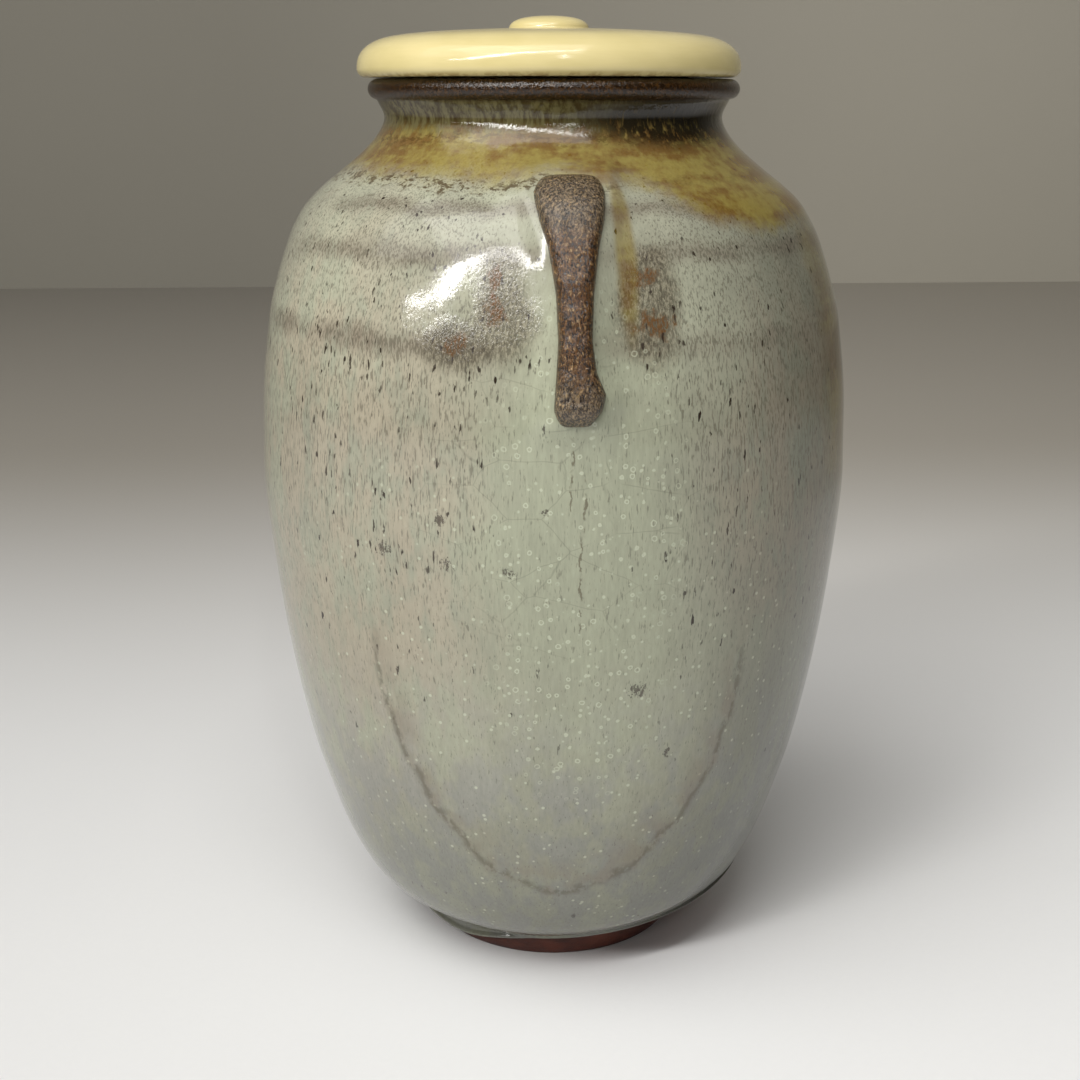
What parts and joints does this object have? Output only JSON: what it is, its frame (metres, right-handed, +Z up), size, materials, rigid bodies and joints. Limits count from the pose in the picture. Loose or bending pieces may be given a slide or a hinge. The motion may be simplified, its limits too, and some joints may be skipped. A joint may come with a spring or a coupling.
{
  "type": "lidded tea jar",
  "caption": "Small lidded stoneware tea jar: swelling body, short neck, strap lugs on the shoulder, thick pale speckled glaze; the cream lid with a low knob lifts off.",
  "frame": {"origin": "centre of the flat foot that the jar stands on", "axes": "+Z up along the jar's axis, towards the lid; -Y towards the front lug"},
  "size_m": [0.0542, 0.0576, 0.086],
  "materials": {
    "stoneware": "unglazed, fine sandy, matte",
    "glaze": "thick glossy pale grey-green glaze with iron speckle",
    "lug_glaze": "thin iron-brown glaze, rough and glittering",
    "lid_resin": "polished cream resin",
    "foil_paper": "gold foil on paper"
  },
  "bodies": {
    "jar": {"jar_body": "stoneware", "glaze_coat": "glaze", "lug_front": "lug_glaze", "lug_back": "lug_glaze"},
    "lid": {"lid": "lid_resin", "lid_lining": "foil_paper"}
  },
  "joints": [
    {"name": "lid_lift", "type": "slide", "parent": "jar", "child": "lid", "axis": [0, 0, 1], "range_m": [0, 0.04]}
  ]
}
